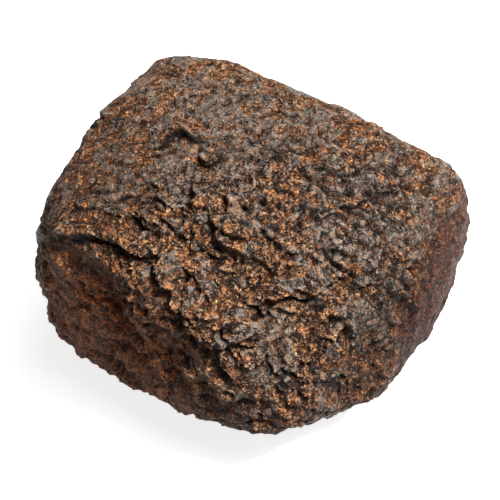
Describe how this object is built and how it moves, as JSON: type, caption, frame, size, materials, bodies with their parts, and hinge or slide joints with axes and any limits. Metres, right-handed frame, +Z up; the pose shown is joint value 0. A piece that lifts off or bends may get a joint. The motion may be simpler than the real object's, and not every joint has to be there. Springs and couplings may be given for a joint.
{
  "type": "meteorite",
  "caption": "Solid stony meteorite: a blocky rounded stone with a rough, chipped and pitted dark brown crust and a worn flat underneath that it rests on.",
  "frame": {"origin": "centre of the stone's box in plan, on the surface that the stone rests on", "axes": "+X along the stone's longest side, to the viewer's right; +Y away from the viewer; +Z up"},
  "size_m": [0.1288, 0.1218, 0.0908],
  "materials": {
    "weathered_crust": "rough weathered crust, dull with a faint grey sheen on the high places"
  },
  "bodies": {
    "root": {"meteorite": "weathered_crust"}
  },
  "joints": []
}
